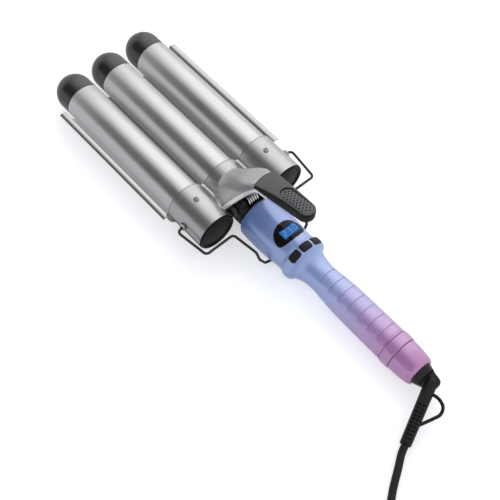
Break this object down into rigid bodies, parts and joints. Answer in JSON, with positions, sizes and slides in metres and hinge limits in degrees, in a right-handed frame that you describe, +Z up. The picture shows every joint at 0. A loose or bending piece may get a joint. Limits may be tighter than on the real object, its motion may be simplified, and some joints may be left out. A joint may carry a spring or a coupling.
{
  "type": "hair waver",
  "caption": "Hair waver with parallel heated barrels that close onto a troughed clamp plate, a thumb lever, a fold-out stand, a display handle and a swivel cord.",
  "frame": {"origin": "on the table under the middle of the waver, cord left out", "axes": "+X towards the barrel tips, +Y to the user's left, +Z up from the table, the lever on top"},
  "size_m": [0.6261, 0.2075, 0.0839],
  "materials": {
    "barrel": "smooth satin coating",
    "silver_cover": "silver lacquer",
    "black_gloss": "gloss moulding",
    "black_matte": "fine matt moulding",
    "charcoal": "matt moulding",
    "grey_lever": "matt moulding",
    "grey_pad": "matt moulding with dimples",
    "heater": "extruded",
    "screw": "bright zinc",
    "stand_wire": "black oxide",
    "handle_blue": "pearl lacquer, blue fading to lilac",
    "grip_lilac": "pearl lacquer, lilac fading to orchid",
    "tail_orchid": "pearl lacquer, orchid",
    "display_black": "polished window",
    "lcd_blue": "backlit",
    "board_green": "solder mask",
    "cord_black": "soft sheath",
    "plug_brass": "plated pins"
  },
  "bodies": {
    "handle": {"handle_upper_shell": "handle_blue", "handle_lower_shell": "handle_blue", "grip_panel": "grip_lilac", "display_window": "display_black", "lcd_panel": "lcd_blue", "circuit_board": "board_green", "handle_screw_1": "screw", "handle_screw_2": "screw", "tail_ring": "tail_orchid", "tail_sleeve": "tail_orchid", "neck": "black_matte", "hinge_pin": "screw", "torsion_spring": "screw", "clamp_plate": "barrel", "plate_strap": "screw", "plate_screw_1": "screw", "plate_screw_2": "screw"},
    "barrel_jaw": {"barrel_left": "barrel", "barrel_middle": "barrel", "barrel_right": "barrel", "barrel_tip_left": "black_gloss", "barrel_tip_middle": "black_gloss", "barrel_tip_right": "black_gloss", "heater_core_left": "heater", "heater_core_middle": "heater", "heater_core_right": "heater", "end_cap_left": "black_gloss", "end_cap_right": "black_gloss", "cover_screw_left": "screw", "cover_screw_right": "screw", "stand_bush_left": "screw", "stand_bush_right": "screw", "upper_cover": "silver_cover", "lower_housing": "charcoal", "lever": "grey_lever", "lever_pad": "grey_pad"},
    "stand": {"wire_stand": "stand_wire"},
    "left_button": {"button_left": "charcoal"},
    "middle_button": {"button_middle": "charcoal"},
    "right_button": {"button_right": "charcoal"},
    "cord_swivel": {"swivel_cone": "black_matte"},
    "cord_end": {"strain_relief": "cord_black", "cord_lead": "cord_black", "cord_coil": "cord_black", "cord_tail": "cord_black", "plug_body": "black_matte", "plug_pin_left": "plug_brass", "plug_pin_right": "plug_brass"}
  },
  "joints": [
    {"name": "jaw_hinge", "type": "hinge", "parent": "handle", "child": "barrel_jaw", "pos_m": [0.007, 0, 0.0269], "axis": [0, -1, 0], "range_deg": [0, 28], "stiffness_Nm_per_rad": 1.2, "springref_deg": -22.92, "deforming": ["torsion_spring"]},
    {"name": "stand_hinge", "type": "hinge", "parent": "barrel_jaw", "child": "stand", "pos_m": [0.0235, 0, 0.0224], "axis": [0, -1, 0], "range_deg": [0, 80]},
    {"name": "left_button_press", "type": "slide", "parent": "handle", "child": "left_button", "axis": [0, -0.5736, -0.8192], "range_m": [0, 0.0008], "stiffness_N_per_m": 500},
    {"name": "middle_button_press", "type": "slide", "parent": "handle", "child": "middle_button", "axis": [0, 0, -1], "range_m": [0, 0.0008], "stiffness_N_per_m": 500},
    {"name": "right_button_press", "type": "slide", "parent": "handle", "child": "right_button", "axis": [0, 0.5736, -0.8192], "range_m": [0, 0.0008], "stiffness_N_per_m": 500},
    {"name": "cord_swivel_turn", "type": "hinge", "parent": "handle", "child": "cord_swivel", "pos_m": [-0.1845, 0, 0.0149], "axis": [1, 0, 0], "continuous": true},
    {"name": "cord_end_bend", "type": "hinge", "parent": "cord_swivel", "child": "cord_end", "pos_m": [-0.1955, 0, 0.0149], "axis": [0, 0.1937, 0.9811], "range_deg": [-5, 130]}
  ]
}
